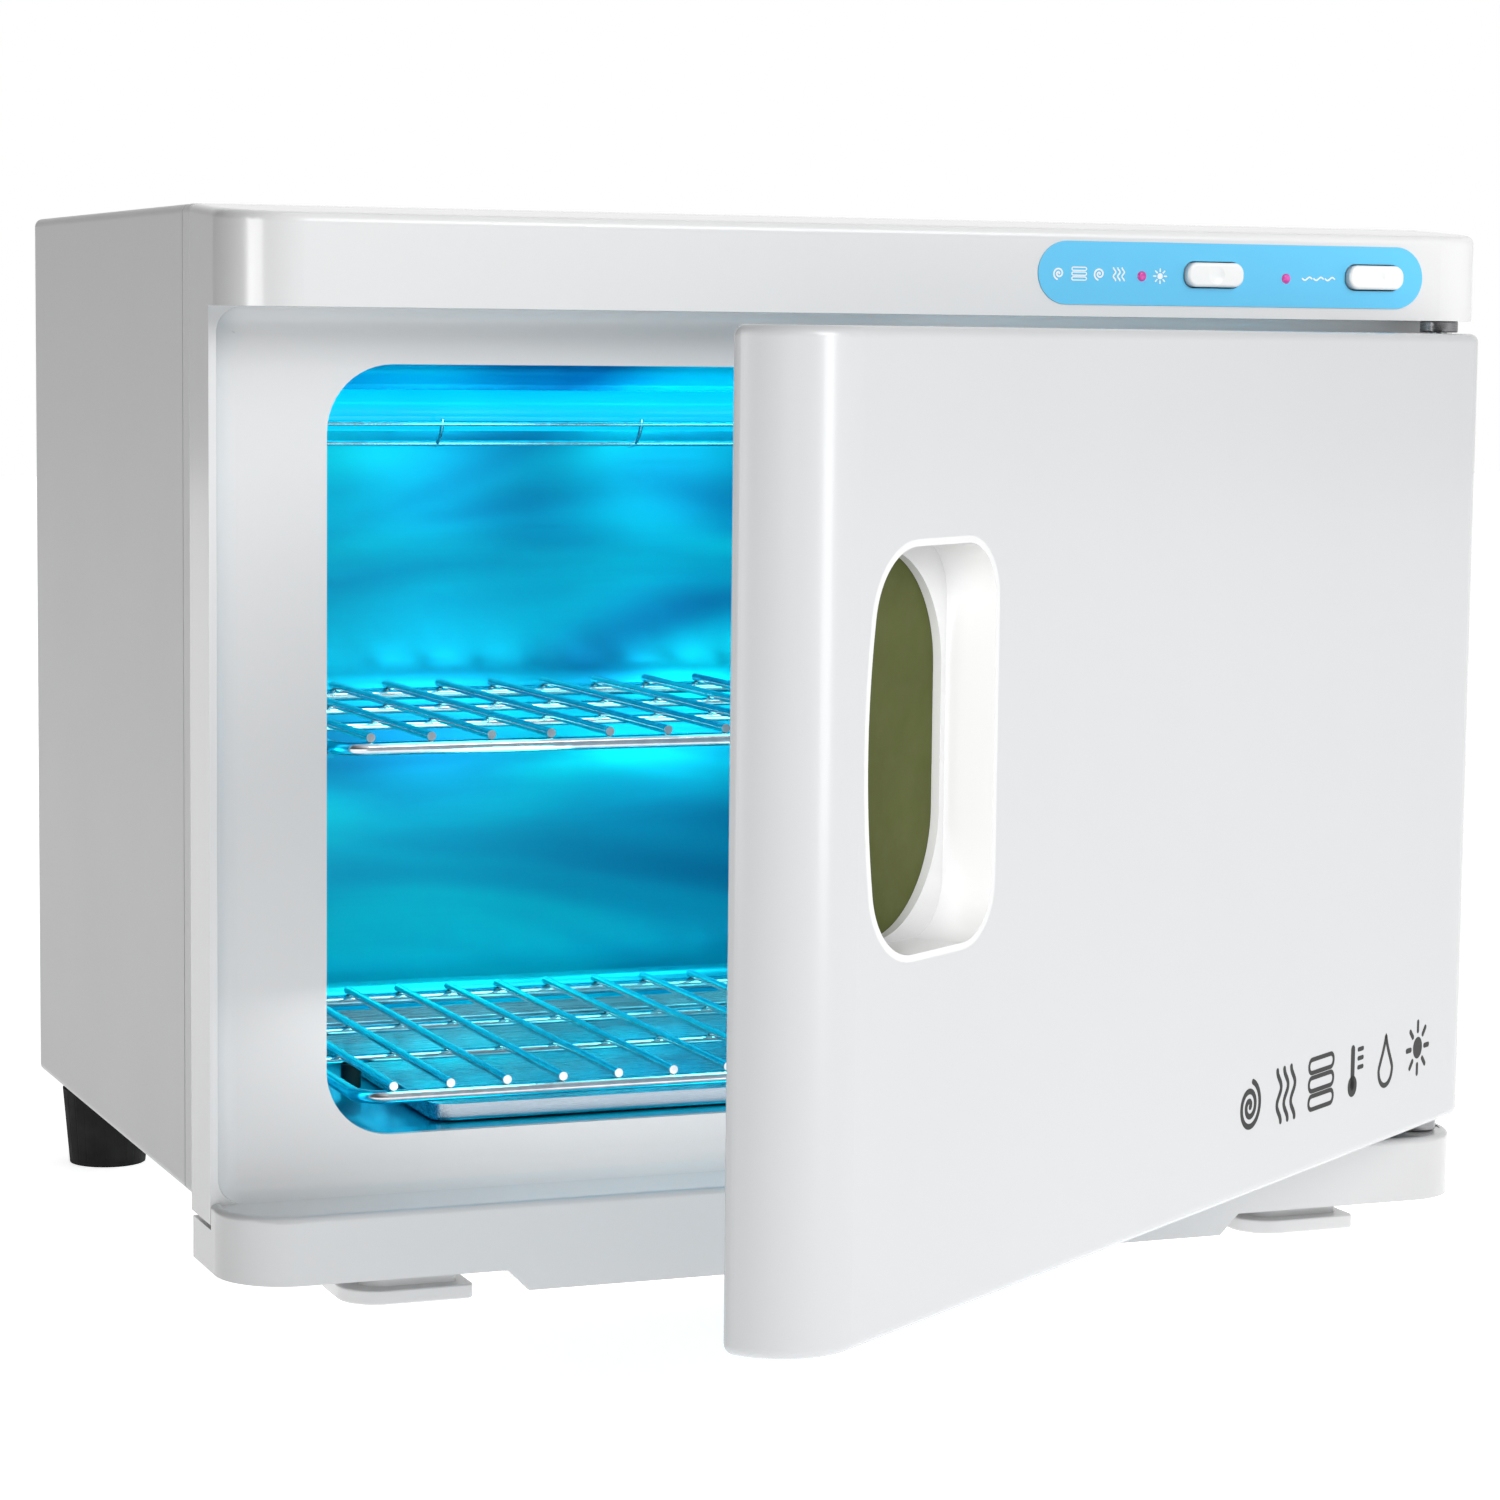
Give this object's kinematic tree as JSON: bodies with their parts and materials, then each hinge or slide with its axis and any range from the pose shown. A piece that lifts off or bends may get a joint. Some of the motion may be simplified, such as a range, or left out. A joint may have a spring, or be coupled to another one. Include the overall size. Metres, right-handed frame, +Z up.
{
  "type": "hot towel cabinet",
  "caption": "Countertop hot towel cabinet with a side-hinged white door left ajar, blue-lit steel chamber, wire racks, drip tray and a blue control strip.",
  "frame": {"origin": "on the surface the cabinet stands on, in the middle of the box of the whole cabinet with its door ajar at rest, which is mid width of the case and 120 mm forward of its middle in depth", "axes": "+X towards the hinge side, seen from the front; +Y from the door to the back; +Z up"},
  "size_m": [0.45, 0.54, 0.35],
  "materials": {
    "shell_paint": "satin powder coat, light grey",
    "zinc_sheet": "galvanised sheet",
    "screw_steel": "zinc plated",
    "frame_abs": "satin white ABS",
    "door_abs": "satin white ABS",
    "door_liner_abs": "fine-grained white ABS",
    "panel_blue": "gloss sky blue overlay",
    "lens_red": "translucent red",
    "clear_plastic": "clear moulding",
    "black_plastic": "glass-filled nylon",
    "button_white": "gloss white",
    "liner_steel": "brushed stainless",
    "mineral_wool": "needled mineral wool",
    "aluminium_plate": "mill finish",
    "heater_sheath": "oxidised sheath",
    "rack_chrome": "bright plated wire",
    "tray_steel": "pressed stainless",
    "lamp_glass": "quartz glass with a blue glow",
    "brass_pin": "plated brass",
    "lead_pvc": "insulated leads",
    "foot_rubber": "moulded black rubber",
    "pin_steel": "ground steel",
    "door_foam": "rigid foam",
    "gasket_rubber": "light grey silicone",
    "magnet_strip": "flexible magnet",
    "handle_olive": "olive green",
    "bush_plastic": "acetal"
  },
  "bodies": {
    "cabinet": {"outer_shell": "shell_paint", "base_panel": "zinc_sheet", "rear_panel": "shell_paint", "rear_screws": "screw_steel", "front_frame": "frame_abs", "front_sill": "frame_abs", "sill_screws": "screw_steel", "control_panel": "panel_blue", "indicator_lenses": "lens_red", "indicator_lamps": "clear_plastic", "uv_switch_body": "black_plastic", "heat_switch_body": "black_plastic", "chamber_liner": "liner_steel", "chamber_insulation": "mineral_wool", "heater_plate": "aluminium_plate", "heater_element": "heater_sheath", "thermostat": "black_plastic", "thermal_cutout": "black_plastic", "shelf_rails": "liner_steel", "rail_rivets": "aluminium_plate", "uv_lamp_tube": "lamp_glass", "uv_lamp_caps": "aluminium_plate", "lamp_holders": "button_white", "lamp_guard": "rack_chrome", "uv_ballast": "zinc_sheet", "terminal_block": "button_white", "earth_stud": "screw_steel", "power_inlet": "black_plastic", "inlet_pins": "brass_pin", "inlet_screws": "screw_steel", "supply_leads": "lead_pvc", "front_feet": "frame_abs", "rear_feet": "foot_rubber", "foot_screws": "screw_steel", "upper_hinge_pin": "pin_steel", "lower_hinge_pin": "pin_steel", "hinge_spacers": "rack_chrome"},
    "door": {"door_shell": "door_abs", "door_liner": "door_liner_abs", "door_insulation": "door_foam", "door_gasket": "gasket_rubber", "gasket_magnet": "magnet_strip", "door_screws": "screw_steel", "handle_cup": "button_white", "handle_insert": "handle_olive", "hinge_bushes": "bush_plastic"},
    "upper_rack": {"upper_rack_frame": "rack_chrome", "upper_rack_wires": "rack_chrome"},
    "lower_rack": {"lower_rack_frame": "rack_chrome", "lower_rack_wires": "rack_chrome", "lower_rack_feet": "black_plastic"},
    "drip_tray": {"drip_tray": "tray_steel"},
    "uv_switch": {"uv_switch_cap": "button_white"},
    "heat_switch": {"heat_switch_cap": "button_white"}
  },
  "joints": [
    {"name": "door_hinge", "type": "hinge", "parent": "cabinet", "child": "door", "pos_m": [0.211, -0.01195, 0.1755], "axis": [0, 0, 1], "range_deg": [-35.8, 74.2]},
    {"name": "upper_rack_slide", "type": "slide", "parent": "cabinet", "child": "upper_rack", "axis": [0, -1, 0], "range_m": [0, 0.03]},
    {"name": "lower_rack_slide", "type": "slide", "parent": "cabinet", "child": "lower_rack", "axis": [0, -1, 0], "range_m": [0, 0.03]},
    {"name": "drip_tray_slide", "type": "slide", "parent": "cabinet", "child": "drip_tray", "axis": [0, -1, 0], "range_m": [0, 0.03]},
    {"name": "uv_switch_push", "type": "slide", "parent": "cabinet", "child": "uv_switch", "axis": [0, 1, 0], "range_m": [0, 0.002], "stiffness_N_per_m": 600},
    {"name": "heat_switch_push", "type": "slide", "parent": "cabinet", "child": "heat_switch", "axis": [0, 1, 0], "range_m": [0, 0.002], "stiffness_N_per_m": 600}
  ]
}
